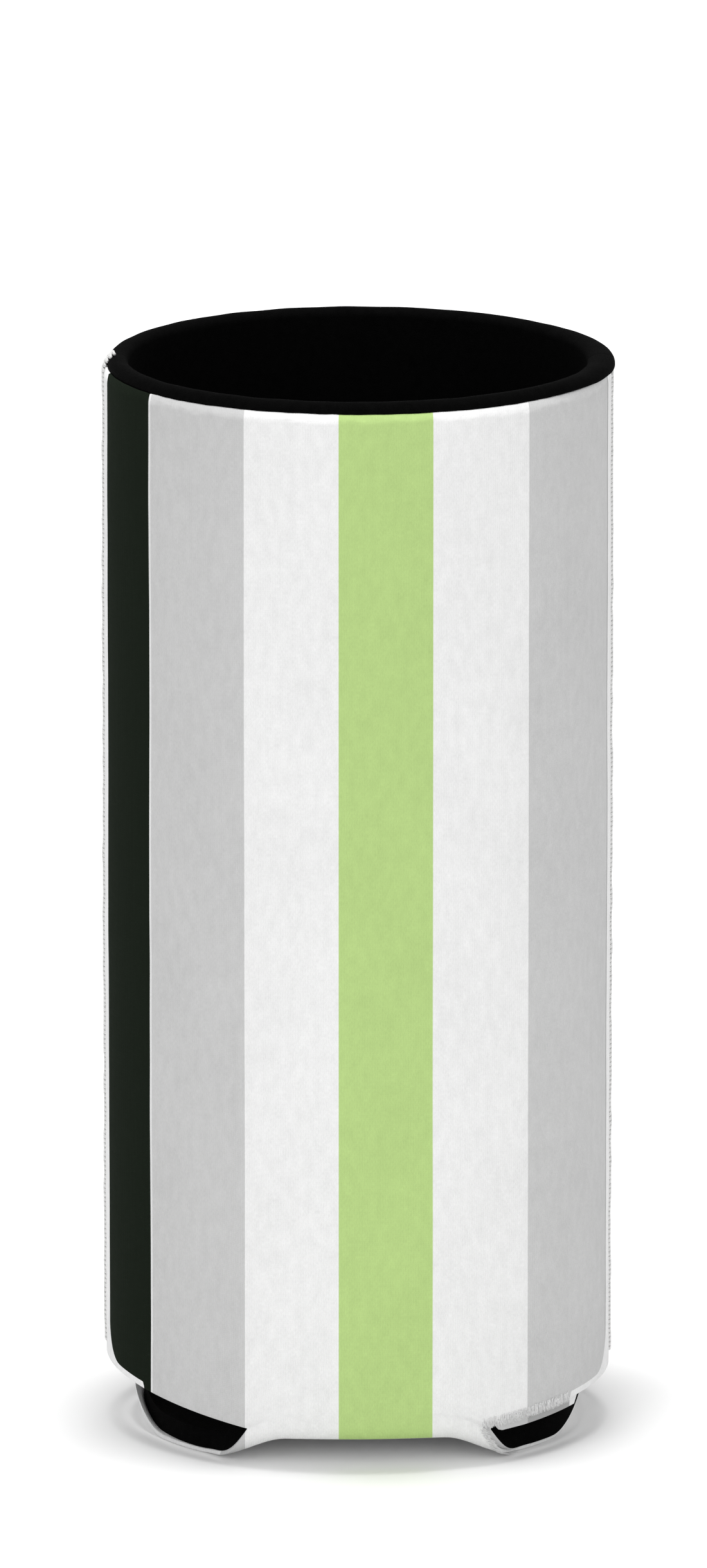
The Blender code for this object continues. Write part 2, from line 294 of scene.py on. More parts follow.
class FoldedLayer:
    """One layer of the sheet, folded up, with its place on the flat cut kept for its finish."""

    def __init__(self, outer_depth, inner_depth, side_gap, rim, cut_error=true_cut):
        self.mesh = bmesh.new()
        self.above_cut = self.mesh.verts.layers.float.new("above_cut")
        self.depth_in = self.mesh.verts.layers.float.new("depth_in")
        self.cloth = self.mesh.loops.layers.uv.new("cloth")
        self.flat = {}
        self.depths = (outer_depth, inner_depth)
        self.side_gap = side_gap
        self.rim = rim
        self.cut_error = cut_error
        half = panel_spokes()
        around = half[:-1] + [azimuth + math.pi for azimuth in half[:-1]]
        outer_edge = self.add_base(around, outer_depth)
        inner_edge = self.add_base(around, inner_depth)
        for half_index, turn in enumerate((0.0, math.pi)):
            start = half_index * (len(half) - 1)
            picks = [(start + k) % len(around) for k in range(len(half))]
            base_edges = [outer_edge[k] for k in picks], [inner_edge[k] for k in picks]
            self.add_panel(half, turn, base_edges)
        bmesh.ops.recalc_face_normals(self.mesh, faces=self.mesh.faces)

    def add_point(self, place, flat, above_cut, depth):
        """A vertex, its place on the flat cut, how far inside the cut line it is and how deep."""
        vertex = self.mesh.verts.new(place)
        self.flat[vertex] = flat
        vertex[self.above_cut] = above_cut / MILLIMETRE
        vertex[self.depth_in] = depth / MILLIMETRE
        return vertex

    def add_base(self, spokes, depth):
        """Rings of one face of the base, from its level middle to its cut edge."""
        rings = []
        for share in ring_shares():
            ring = []
            for azimuth in spokes:
                aside, _, out = self.cut_error(azimuth)
                run = ARCH_START + (base_edge_run(azimuth) + out - ARCH_START) * share
                place, turned = base_point(azimuth, run, depth, aside)
                across = WALL_RADIUS * math.asin(place.x / WALL_RADIUS)
                flat = (across, -run * math.cos(turned))
                inside = base_edge_run(azimuth + aside) + out - run
                ring.append(self.add_point(place, flat, inside, depth))
            rings.append(ring)
        self.mesh.faces.new(rings[0])
        count = len(spokes)
        for inner_ring, outer_ring in zip(rings, rings[1:]):
            for k in range(count):
                after = (k + 1) % count
                corners = (inner_ring[k], inner_ring[after], outer_ring[after], outer_ring[k])
                self.mesh.faces.new(corners)
        return rings[-1]

    def wall_path(self, azimuth):
        """Depth and height up the outer face of a panel, over its rim and down its inner face."""
        aside, lower, _ = self.cut_error(azimuth)
        low = panel_edge_height(azimuth + aside) - lower
        heights = wall_heights(low, self.rim(azimuth)[0][1])
        path = [(self.depths[0], height) for height in heights]
        path += self.rim(azimuth)
        path += [(self.depths[1], height) for height in reversed(heights)]
        return path

    def add_panel(self, half, turn, base_edges):
        """One panel, turned to the front or the back, joined to the base across its neck."""
        trim = math.asin(self.side_gap / 2 / WALL_RADIUS)
        outer_edge, inner_edge = base_edges
        side = -1.0 if turn == 0.0 else 1.0
        sections = []
        for index, azimuth in enumerate(half):
            trimmed = turn + min(max(azimuth, trim - QUARTER_TURN), QUARTER_TURN - trim)
            path = self.wall_path(trimmed)
            aside = self.cut_error(trimmed)[0]
            line = panel_edge_height(trimmed + aside)
            points = []
            for depth, height in path:
                place, turned = wall_point(trimmed, depth, height, aside)
                across = -side * (turned - turn) * WALL_RADIUS
                flat = (across, side * (HEEL_END + height - HEEL_RADIUS))
                points.append((place, flat, height - line, depth))
            between = [self.add_point(*point) for point in points[1:-1]]
            if joined_to_base(azimuth):
                section = [outer_edge[index]] + between + [inner_edge[index]]
            else:
                first = self.add_point(*points[0])
                section = [first] + between + [self.add_point(*points[-1])]
            sections.append(section)
        for k, (left, right) in enumerate(zip(sections, sections[1:])):
            for row in range(len(left) - 1):
                self.mesh.faces.new((left[row], right[row], right[row + 1], left[row + 1]))
            if not (joined_to_base(half[k]) and joined_to_base(half[k + 1])):
                self.mesh.faces.new((left[0], right[0], right[-1], left[-1]))
                rim = (outer_edge[k], outer_edge[k + 1], inner_edge[k + 1], inner_edge[k])
                self.mesh.faces.new(rim)
        self.close_section(sections[0])
        self.close_section(sections[-1])

    def close_section(self, section):
        """Fill the cut side edge of a panel, pairing its outer and inner points."""
        first = 0
        last = len(section) - 1
        while last - first >= 2:
            corners = [section[first], section[first + 1], section[last - 1], section[last]]
            if last - first == 2:
                corners.pop(2)
            self.mesh.faces.new(corners)
            first += 1
            last -= 1

    def as_piece(self, name):
        """The layer as an object, its flat cut in millimetres as the map of its finish."""
        for face in self.mesh.faces:
            for loop in face.loops:
                across, along = self.flat[loop.vert]
                loop[self.cloth].uv = (across / MILLIMETRE, along / MILLIMETRE)
        return new_piece(name, self.mesh)


CUT_EDGE_ANGLE = math.radians(50)


def soften_cut_edges(piece, width, segments):
    """Round the cut edges of a layer a little, as shears and handling leave them."""
    bevel = piece.modifiers.new("cut edges", "BEVEL")
    bevel.width = width
    bevel.segments = segments
    bevel.limit_method = "ANGLE"
    bevel.angle_limit = CUT_EDGE_ANGLE
    bevel.use_clamp_overlap = True


COVER_LIP_HEIGHT = 0.0013
COVER_LIP_UNEVEN = 0.16
COVER_LIP_LEAN = 0.00022
COVER_LIP_CURVE = 1.8
COVER_LIP_STEPS = 7
COVER_LIP_RAGGED = 0.00006


def lip_top(azimuth):
    """Height of the knit's ragged cut edge at the rim."""
    return COVER_TOP + COVER_LIP_RAGGED * noise.noise(Vector((azimuth * 21.0, 4.2, 0.5)))


def cover_lip(azimuth):
    """Depth and height where the knit turns in over the foam's shoulder, then back down."""
    top = lip_top(azimuth)
    uneven = noise.noise(Vector((azimuth * 9.0, 7.7, 2.5)))
    tall = COVER_LIP_HEIGHT * (1.0 + COVER_LIP_UNEVEN * uneven)
    steps = [step / COVER_LIP_STEPS for step in range(COVER_LIP_STEPS + 1)]
    heights = [top - tall * (1.0 - step) for step in steps]
    leans = [COVER_LIP_LEAN * step ** COVER_LIP_CURVE for step in steps]
    inner = [(COVER_THICKNESS, height) for height in reversed(heights)]
    return list(zip(leans, heights)) + inner


COVER_SIDE_GAP = 0.0004
COVER_EDGE_ROUND = 0.00010
cover = FoldedLayer(0.0, COVER_THICKNESS, COVER_SIDE_GAP, cover_lip).as_piece("knit_cover")
soften_cut_edges(cover, COVER_EDGE_ROUND, 2)


def new_finish(name, roughness, shine):
    """A material with its node tree and its shader, set how rough and how shiny it is."""
    material = bpy.data.materials.new(name)
    material.use_nodes = True
    tree = material.node_tree
    shader = tree.nodes["Principled BSDF"]
    shader.inputs["Roughness"].default_value = roughness
    shader.inputs["Specular IOR Level"].default_value = shine
    return material, tree, shader


def plug(tree, socket, value):
    """Feed a socket from another node's output, or set it to a plain value."""
    if isinstance(value, bpy.types.NodeSocket):
        tree.links.new(value, socket)
    else:
        socket.default_value = value


def reckon(tree, operation, first, second=0.0, third=0.0):
    """One step of arithmetic between values or sockets."""
    node = tree.nodes.new("ShaderNodeMath")
    node.operation = operation
    for socket, value in zip(node.inputs, (first, second, third)):
        plug(tree, socket, value)
    return node.outputs[0]


def blend_colours(tree, mode, share, first, second):
    """Mix two colours, each a socket or a plain colour."""
    node = tree.nodes.new("ShaderNodeMix")
    node.data_type = "RGBA"
    node.blend_type = mode
    plug(tree, node.inputs[0], share)
    plug(tree, node.inputs[6], first)
    plug(tree, node.inputs[7], second)
    return node.outputs[2]


def speckle(tree, place, pitch, detail):
    """Soft random value round zero, with its grain drawn out to a pitch across and along."""
    spread = tree.nodes.new("ShaderNodeVectorMath")
    spread.operation = "DIVIDE"
    tree.links.new(place, spread.inputs[0])
    spread.inputs[1].default_value = (pitch[0], pitch[1], pitch[-1])
    grain = tree.nodes.new("ShaderNodeTexNoise")
    grain.inputs["Scale"].default_value = 1.0
    grain.inputs["Detail"].default_value = detail
    tree.links.new(spread.outputs[0], grain.inputs["Vector"])
    return reckon(tree, "SUBTRACT", grain.outputs[0], 0.5)


def emboss(tree, shader, height, depth, strength=1.0):
    """Raise the surface by a height from 0 to 1, over a depth in metres."""
    bump = tree.nodes.new("ShaderNodeBump")
    bump.inputs["Strength"].default_value = strength
    bump.inputs["Distance"].default_value = depth
    tree.links.new(height, bump.inputs["Height"])
    tree.links.new(bump.outputs[0], shader.inputs["Normal"])


def screen(red, green, blue):
    """A colour as it reads on a screen, 0 to 255, in the renderer's own scale."""
    levels = [level / 255 for level in (red, green, blue)]
    linear = [((v + 0.055) / 1.055) ** 2.4 if v > 0.04 else v / 12.92 for v in levels]
    return (*linear, 1.0)


def ease(tree, value, start, end):
    """Rise from 0 at start to 1 at end, level at both."""
    node = tree.nodes.new("ShaderNodeMapRange")
    node.interpolation_type = "SMOOTHSTEP"
    node.inputs["From Min"].default_value = start
    node.inputs["From Max"].default_value = end
    tree.links.new(value, node.inputs["Value"])
    return node.outputs[0]


PRINT_MARGIN_SIDE = 0.0055
BLANK_WHITE = screen(241, 241, 241)
PRINT_EDGE = (QUARTER_TURN * WALL_RADIUS - PRINT_MARGIN_SIDE) / MILLIMETRE
PRINT_SPAN = 50.0
STRIPES = (
    (-PRINT_EDGE, screen(25, 31, 24)),
    (-30.39, screen(8, 10, 7)),
    (-30.11, screen(230, 230, 230)),
    (-29.90, screen(203, 203, 203)),
    (-14.50, BLANK_WHITE),
    (-2.42, screen(186, 214, 138)),
    (9.32, BLANK_WHITE),
    (22.75, screen(205, 205, 205)),
    # Painted shade: the grey stripe ends in a thin darker band, for the shade in the crease beside
    # the right seam
    (43.05, screen(168, 168, 168)),
    (PRINT_EDGE, BLANK_WHITE),
)
WALE_PITCH = 0.32
COURSE_PITCH = 0.27


def stripe_colours(tree, flat):
    """The print: upright stripes, placed by how far across the flat panel a point lies."""
    facing = reckon(tree, "SIGN", reckon(tree, "MULTIPLY", flat.outputs[1], -1.0))
    across = reckon(tree, "MULTIPLY", flat.outputs[0], facing)
    share = reckon(tree, "MULTIPLY_ADD", across, 0.5 / PRINT_SPAN, 0.5)
    ramp = tree.nodes.new("ShaderNodeValToRGB")
    ramp.color_ramp.interpolation = "CONSTANT"
    ramp.color_ramp.elements[0].color = BLANK_WHITE
    for edge, ink in STRIPES:
        stop = ramp.color_ramp.elements.new(0.5 + 0.5 * edge / PRINT_SPAN)
        stop.color = ink
    ramp.color_ramp.elements.remove(ramp.color_ramp.elements[-1])
    tree.links.new(share, ramp.inputs[0])
    return ramp.outputs[0]


# Painted highlight: just below the rim the knit is drawn lighter in a ragged band, for the light
# caught where its top edge turns in. The band fades in between these two distances below the
# rim, in millimetres
RIM_LINE = (HEEL_END + COVER_TOP - HEEL_RADIUS) / MILLIMETRE
RIM_HIGHLIGHT_BAND = (1.45, 0.45)
RIM_HIGHLIGHT_GRAIN = (2.6, 0.9)
RIM_HIGHLIGHT_RAGGED = 1.6
RIM_HIGHLIGHT_LIGHTER = 0.18

# How far each pattern of the knit changes its brightness, and its grain across and along
FINE_TONE = 0.21
FINE_GRAIN = (0.13, 0.42)
CLOUDY_TONE = 0.16
CLOUDY_GRAIN = (1.1, 2.4)
PATCH_TONE = 0.09
PATCH_GRAIN = (9.0, 14.0)
LOOP_TONE = 0.03
LOOP_DEPTH = 0.00003


def printed_knit():
    """Matt knit with its loops raised, its stripes printed, its slight unevenness and a painted
    highlight under the rim.
    """
    material, tree, shader = new_finish("printed_knit", 0.92, 0.02)
    cloth = tree.nodes.new("ShaderNodeUVMap")
    cloth.uv_map = "cloth"
    flat = tree.nodes.new("ShaderNodeSeparateXYZ")
    tree.links.new(cloth.outputs[0], flat.inputs[0])
    column = reckon(tree, "DIVIDE", flat.outputs[0], WALE_PITCH)
    lean = reckon(tree, "PINGPONG", column, 0.5)
    course = reckon(tree, "DIVIDE", flat.outputs[1], COURSE_PITCH)
    leg = reckon(tree, "SINE", reckon(tree, "MULTIPLY", reckon(tree, "ADD", course, lean), math.tau))
    wale = reckon(tree, "SINE", reckon(tree, "MULTIPLY", column, math.tau))
    loops = reckon(tree, "MULTIPLY_ADD", wale, 0.30, reckon(tree, "MULTIPLY", leg, 0.16))
    fine = speckle(tree, cloth.outputs[0], FINE_GRAIN, 2.0)
    cloudy = speckle(tree, cloth.outputs[0], CLOUDY_GRAIN, 2.0)
    patch = speckle(tree, cloth.outputs[0], PATCH_GRAIN, 2.0)
    tone = reckon(tree, "MULTIPLY_ADD", fine, FINE_TONE, 1.0)
    tone = reckon(tree, "MULTIPLY_ADD", cloudy, CLOUDY_TONE, tone)
    tone = reckon(tree, "MULTIPLY_ADD", patch, PATCH_TONE, tone)
    tone = reckon(tree, "MULTIPLY_ADD", loops, LOOP_TONE, tone)
    # Painted highlight: a ragged lighter band just below the rim
    below_rim = reckon(tree, "SUBTRACT", RIM_LINE, reckon(tree, "ABSOLUTE", flat.outputs[1]))
    ragged = speckle(tree, cloth.outputs[0], RIM_HIGHLIGHT_GRAIN, 3.0)
    below_rim = reckon(tree, "MULTIPLY_ADD", ragged, RIM_HIGHLIGHT_RAGGED, below_rim)
    rim_highlight = ease(tree, below_rim, *RIM_HIGHLIGHT_BAND)
    tone = reckon(tree, "MULTIPLY_ADD", rim_highlight, RIM_HIGHLIGHT_LIGHTER, tone)
    shade = tree.nodes.new("ShaderNodeCombineColor")
    for channel in range(3):
        tree.links.new(tone, shade.inputs[channel])
    inside = tree.nodes.new("ShaderNodeAttribute")
    inside.attribute_name = "print_inset"
    printed = reckon(tree, "GREATER_THAN", inside.outputs["Fac"], 0.0)
    ink = blend_colours(tree, "MIX", printed, BLANK_WHITE, stripe_colours(tree, flat))
    colour = blend_colours(tree, "MULTIPLY", 1.0, ink, shade.outputs[0])
    tree.links.new(colour, shader.inputs["Base Color"])
    surface = reckon(tree, "MULTIPLY_ADD", fine, 0.7, reckon(tree, "ADD", loops, 0.5))
    surface = reckon(tree, "MULTIPLY_ADD", cloudy, 0.9, surface)
    emboss(tree, shader, surface, LOOP_DEPTH, 0.8)
    return material


# The print stops short of the seams and, near them, of the cut edge at the foot. Between the
# tips it runs round the foot and ends a little way under the heel.
PRINT_MARGIN_FOOT = 0.0008
PRINT_CORNER = 0.0050
MARGIN_FROM = 0.0264
PRINT_UNDER_HEEL = HEEL_START + 0.18 * HEEL_RADIUS
INSET_LIMIT = 0.0010


def mark_print(piece):
    """Keep on each point how far it lies inside the printed field, in millimetres."""
    data = piece.data
    inset = data.attributes.new("print_inset", "FLOAT", "POINT")
    above_cut = data.attributes["above_cut"].data
    for vertex in data.vertices:
        x, y, _ = vertex.co
        radius = math.hypot(x, y)
        from_seam = (QUARTER_TURN - front_angle(math.atan2(x, -y))) * WALL_RADIUS
        side = from_seam - PRINT_MARGIN_SIDE
        if radius < WALL_RADIUS - 2 * COVER_THICKNESS:
            foot = radius - PRINT_UNDER_HEEL
        elif abs(x) > MARGIN_FROM:
            foot = above_cut[vertex.index].value * MILLIMETRE - PRINT_MARGIN_FOOT
        else:
            foot = PRINT_CORNER
        gaps = [max(PRINT_CORNER - gap, 0.0) for gap in (side, foot)]
        inside = PRINT_CORNER - math.hypot(*gaps)
        inside = min(max(inside, -INSET_LIMIT), INSET_LIMIT)
        inset.data[vertex.index].value = inside / MILLIMETRE


mark_print(cover)
cover.data.materials.append(printed_knit())
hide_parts("printed_cover")
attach(cover, "root")


# Frayed knit: at the notch to the right of the front neck the shears left the knit's cut edge
# rough, so short white ends of its threads stand along the edge and lie over it.
FRAY_FROM = NECK_AZIMUTH
FRAY_TO = math.radians(55)
FRAY_ON_PANEL = 620
FRAY_ON_FLARE = 240
FRAY_RADIUS = 0.00004
FRAY_SIDES = 4
FRAY_POINTS = 4

# Ranges that each thread end is drawn from. On the panel: how far it starts above the cut edge
# and ends below it, its lean in radians and its lift off the knit. On the flare: how far it lies
# back and over, in radians, its distance from the cut edge and its lift.
FRAY_ABOVE = (0.0002, 0.0011)
FRAY_BELOW = (-0.0001, 0.00035)
FRAY_LEAN = (-0.012, 0.012)
FRAY_LIFT = (0.00002, 0.00012)
FLARE_BACK = (0.004, 0.030)
FLARE_OVER = (0.000, 0.010)
FLARE_PAST = (-0.0004, 0.0004)
FLARE_LIFT = (0.00002, 0.00010)


def across_thread(points, index):
    """Two directions square to a thread at one of its points: beside it, and off the surface."""
    ahead = points[min(index + 1, len(points) - 1)] - points[max(index - 1, 0)]
    outward = Vector((points[index].x, points[index].y, 0.0)).normalized()
    beside = ahead.cross(outward).normalized()
    return beside, beside.cross(ahead).normalized()


def fibre(mesh, points, radius):
    """A fine thread of round section along a few points, half as thick at its end."""
    rings = []
    for index, point in enumerate(points):
        beside, above = across_thread(points, index)
        thin = radius * (1.0 - 0.5 * index / (len(points) - 1))
        turns = [math.tau * side / FRAY_SIDES for side in range(FRAY_SIDES)]
        places = [point + thin * (beside * math.cos(t) + above * math.sin(t)) for t in turns]
        rings.append([mesh.verts.new(place) for place in places])
    for low_ring, high_ring in zip(rings, rings[1:]):
        for side in range(FRAY_SIDES):
            after = (side + 1) % FRAY_SIDES
            mesh.faces.new((low_ring[side], low_ring[after], high_ring[after], high_ring[side]))
    mesh.faces.new(rings[0])
    mesh.faces.new(rings[-1])


def frayed_edge():
    """Thread ends along the panel's lower edge and round the flare of the base."""
    rng = random.Random(31)
    mesh = bmesh.new()
    for _ in range(FRAY_ON_PANEL):
        azimuth = rng.uniform(FRAY_FROM, FRAY_TO)
        edge = panel_edge_height(azimuth)
        top = edge + rng.uniform(*FRAY_ABOVE)
        bottom = edge - rng.uniform(*FRAY_BELOW)
        lean = rng.uniform(*FRAY_LEAN)
        lift = rng.uniform(*FRAY_LIFT)
        points = []
        for step in range(FRAY_POINTS):
            share = step / (FRAY_POINTS - 1)
            curl = lift * (1.0 + 1.2 * share * share)
            height = top + (bottom - top) * share
            points.append(wall_point(azimuth + lean * share, -curl, height)[0])
        fibre(mesh, points, FRAY_RADIUS)
    for _ in range(FRAY_ON_FLARE):
        azimuth = rng.uniform(NECK_AZIMUTH, FLARE_AZIMUTH)
        edge = base_edge_run(azimuth)
        back = rng.uniform(*FLARE_BACK)
        over = rng.uniform(*FLARE_OVER)
        run = edge + rng.uniform(*FLARE_PAST)
        lift = rng.uniform(*FLARE_LIFT)
        points = []
        for step in range(FRAY_POINTS):
            share = step / (FRAY_POINTS - 1)
            turn = azimuth - back + (back + over) * share
            place = base_point(turn, run, -lift * (1.0 + share))[0]
            place.z = max(place.z, FRAY_RADIUS)
            points.append(place)
        fibre(mesh, points, FRAY_RADIUS)
    bmesh.ops.recalc_face_normals(mesh, faces=mesh.faces)
    return new_piece("frayed_thread_ends", mesh)


def loose_fibre():
    """Unprinted white polyester, a little uneven from one thread end to the next."""
    material, tree, shader = new_finish("loose_fibre", 0.8, 0.1)
    where = tree.nodes.new("ShaderNodeTexCoord")
    uneven = speckle(tree, where.outputs["Object"], (0.0004, 0.0004), 1.0)
    share = reckon(tree, "ADD", uneven, 0.5)
    colour = blend_colours(tree, "MIX", share, screen(226, 226, 226), screen(250, 250, 250))
    tree.links.new(colour, shader.inputs["Base Color"])
    return material


frayed_ends = frayed_edge()
frayed_ends.data.materials.append(loose_fibre())
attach(frayed_ends, "root")


# Foam body: a sheet of black rubber foam with a thin black lining bonded to its inner face,
# cut in the same outline as the knit. Its cut edge stands up as a soft round black rim, and
# shows again in the half-moon openings beside the base.
LAMINATE_GAP = 0.00002
FOAM_DEPTH = COVER_THICKNESS + LAMINATE_GAP

# The two panels all but touch at the seams, so that no light shows between them
FOAM_BUTT_GAP = 0.00004

# How far in from the knit's face the swollen rim starts: at the right it stands out past it
RIM_OVERHANG_FRONT = 0.00022
RIM_OVERHANG_RIGHT = -0.00046
RIM_OVERHANG_LEFT = 0.00045
RIM_OVERHANG_SPAN = (0.70, 1.0)
RIM_RISE = 0.0012
RIM_FULLNESS = 0.85
RIM_WAVE = 0.00007
RIM_STEPS = 22
RIM_REST = 0.00004

# At the front right notch the foam's bonded face shows as a ledge past the knit, painted in grey
# tones as shade under the knit's edge. Beside it the base's edge stands out a little, and at the
# left it is set in from the knit's, most at the tip. A span is where a change starts and ends, as a
# share of the way from the middle to a seam.
LEDGE_HEIGHT = 0.0013
LEDGE_STARTS_OVER = math.radians(3)
LEDGE_TURN = math.radians(2.6)
LEDGE_TURN_FROM = 0.4 * NECK_AZIMUTH
LEDGE_ENDS_FROM = math.radians(59.5)
LEDGE_ENDS = math.radians(61.5)
SET_IN_TIP = 0.0011
SET_IN_TIP_SPAN = (0.74, 1.0)
SET_IN_FRONT = 0.00022
SET_IN_FRONT_SPAN = (0.5, 0.7)
SET_OUT = 0.0002
SET_OUT_SPAN = (0.5, 0.9)


def foam_cut(azimuth):
    """How far the foam's cut edge lies past the drawn line: further aside, lower and out."""
    across = math.sin(azimuth)
    out = SET_OUT * smooth_step(across, *SET_OUT_SPAN)
    out -= SET_IN_FRONT * smooth_step(-across, *SET_IN_FRONT_SPAN)
    out -= (SET_IN_TIP - SET_IN_FRONT) * smooth_step(-across, *SET_IN_TIP_SPAN)
    if not 0.0 < azimuth < QUARTER_TURN:
        return 0.0, 0.0, out
    starts = smooth_step(azimuth, NECK_AZIMUTH, NECK_AZIMUTH + LEDGE_STARTS_OVER)
    lower = LEDGE_HEIGHT * starts * (1.0 - smooth_step(azimuth, LEDGE_ENDS_FROM, LEDGE_ENDS))
    aside = LEDGE_TURN * smooth_step(azimuth, LEDGE_TURN_FROM, NECK_AZIMUTH)
    aside *= 1.0 - smooth_step(azimuth, FLARE_AZIMUTH, LEDGE_ENDS)
    return aside, lower, out


def foam_dome(azimuth):
    """Depth and height over the swollen cut edge, from above the knit round to the lining."""
    top = SLEEVE_HEIGHT + RIM_WAVE * noise.noise(Vector((azimuth * 8.0, 2.1, 6.0)))
    shoulder = lip_top(azimuth) + RIM_REST
    middle = top - RIM_RISE
    right = smooth_step(math.sin(azimuth), *RIM_OVERHANG_SPAN)
    left = smooth_step(-math.sin(azimuth), *RIM_OVERHANG_SPAN)
    overhang = RIM_OVERHANG_FRONT + (RIM_OVERHANG_RIGHT - RIM_OVERHANG_FRONT) * right
    overhang += (RIM_OVERHANG_LEFT - RIM_OVERHANG_FRONT) * left
    half = (SHEET_THICKNESS - overhang) / 2
    first = math.asin(max(shoulder - middle, 0.0) / RIM_RISE)
    path = [(FOAM_DEPTH, COVER_TOP - COVER_LIP_HEIGHT), (FOAM_DEPTH, shoulder)]
    for step in range(RIM_STEPS + 1):
        turn = first + (math.pi - first) * step / RIM_STEPS
        depth = overhang + half * (1.0 - math.cos(turn))
        path.append((depth, middle + RIM_RISE * max(math.sin(turn), 0.0) ** RIM_FULLNESS))
    path.append((SHEET_THICKNESS, COVER_TOP - COVER_LIP_HEIGHT))
    return path


FOAM_EDGE_ROUND = 0.00018
foam_layer = FoldedLayer(FOAM_DEPTH, SHEET_THICKNESS, FOAM_BUTT_GAP, foam_dome, foam_cut)
foam = foam_layer.as_piece("foam_with_lining")
soften_cut_edges(foam, FOAM_EDGE_ROUND, 3)

# The ledge's three tones from left to right, and where each gives way to the next: painted shade,
# the bond drawn grey as it lies in the shade under the knit's edge, near white past the last line.
# The bond shows from a little under the knit's edge outward, and everywhere else the foam is black.
LEDGE_SHADED_PALE = screen(206, 206, 206)
LEDGE_SHADED_GREY = screen(176, 176, 176)
LEDGE_LINE = 0.02108
LEDGE_LIGHT = screen(236, 236, 236)
LEDGE_LIGHT_LINE = 0.0263
KNIT_OVERLAP = 0.30
COVERED = -30.0
BARED_FROM = 0.03
CELL_SIZE = 0.00016
CELL_DEPTH = 0.00004


def mark_bared(piece):
    """Keep on each point how far it lies out from under the knit at the notch, in millimetres."""
    data = piece.data
    bared = data.attributes.new("bared", "FLOAT", "POINT")
    above_cut = data.attributes["above_cut"].data
    depth_in = data.attributes["depth_in"].data
    for vertex in data.vertices:
        x, y, z = vertex.co
        azimuth = math.atan2(x, -y)
        on_panel = math.hypot(x, y) > WALL_RADIUS - SHEET_THICKNESS / 2
        last = LEDGE_ENDS if on_panel else FLARE_AZIMUTH + LEDGE_TURN + NECK_SKEW
        on_face = depth_in[vertex.index].value * MILLIMETRE < FOAM_DEPTH + LAMINATE_GAP
        past = COVERED
        if on_face and 0.0 < azimuth < last + NECK_SKEW and z < SIDE_EDGE_LEFT:
            past = KNIT_OVERLAP - above_cut[vertex.index].value
        bared.data[vertex.index].value = past


def black_foam():
    """Near-black cut foam with fine closed cells, painted grey as in shade where the bond shows past
    the knit.
    """
    material, tree, shader = new_finish("black_foam", 0.85, 0.008)
    where = tree.nodes.new("ShaderNodeTexCoord")
    cells = tree.nodes.new("ShaderNodeTexVoronoi")
    cells.inputs["Scale"].default_value = 1.0 / CELL_SIZE
    tree.links.new(where.outputs["Object"], cells.inputs["Vector"])
    cloudy = speckle(tree, where.outputs["Object"], (0.0009, 0.0009), 3.0)
    share = reckon(tree, "ADD", cloudy, 0.4)
    share = reckon(tree, "MULTIPLY_ADD", cells.outputs["Distance"], 0.5, share)
    black = blend_colours(tree, "MIX", share, screen(3, 3, 3), screen(11, 11, 11))
    axes = tree.nodes.new("ShaderNodeSeparateXYZ")
    tree.links.new(where.outputs["Object"], axes.inputs[0])
    # Painted shade on the ledge: pale grey, darker past the first line, near white past the second
    right = reckon(tree, "GREATER_THAN", axes.outputs[0], LEDGE_LINE)
    pale = blend_colours(tree, "MIX", right, LEDGE_SHADED_PALE, LEDGE_SHADED_GREY)
    ending = reckon(tree, "GREATER_THAN", axes.outputs[0], LEDGE_LIGHT_LINE)
    pale = blend_colours(tree, "MIX", ending, pale, LEDGE_LIGHT)
    past = tree.nodes.new("ShaderNodeAttribute")
    past.attribute_name = "bared"
    bared = reckon(tree, "GREATER_THAN", past.outputs["Fac"], BARED_FROM)
    colour = blend_colours(tree, "MIX", bared, black, pale)
    tree.links.new(colour, shader.inputs["Base Color"])
    emboss(tree, shader, cells.outputs["Distance"], CELL_DEPTH, 0.6)
    return material


mark_bared(foam)
foam.data.materials.append(black_foam())
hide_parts("foam_body")
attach(foam, "root")


# Side seams: white thread sewn back and forth over the two butted edges of the panels, close
# together, so that it lies as a narrow raised band down each side. The left one goes on over
# the rim, where its end is worked in.
SEAM_WIDTH = 0.0028
SEAM_BELOW_EDGE = 0.0006
SEAM_BELOW_RIM = 0.0002
THREAD_RADIUS = 0.00019
CROSSING_PITCH = 0.00029
CROSSING_STEPS = 8
THREAD_SIDES = 6
REACH_VARIES = 0.03
PITCH_VARIES = 0.04

# Each crossing dips below the wall's surface at its two ends and stands proud in the middle
THREAD_SUNK = -0.00017
THREAD_PROUD = 0.00028
CROSSING_SPREAD = 1.06
TWIST_PER_MILLIMETRE = 2.6
PLY_DEPTH = 0.00004
RIM_TURN_FROM = 0.1325
RIM_TURN_RADIUS = 0.0026
RIM_TURN_END = math.radians(68)
RIM_TURN_PROUD = 0.00042


def seam_track(side, run):
    """Depth, height and outward tilt of a seam's middle at a run from the sleeve's foot."""
    past = run - RIM_TURN_FROM
    if side > 0 or past <= 0.0:
        return 0.0, run, 0.0
    tilt = past / RIM_TURN_RADIUS
    depth = RIM_TURN_RADIUS * (1.0 - math.cos(tilt))
    return depth, RIM_TURN_FROM + RIM_TURN_RADIUS * math.sin(tilt), tilt


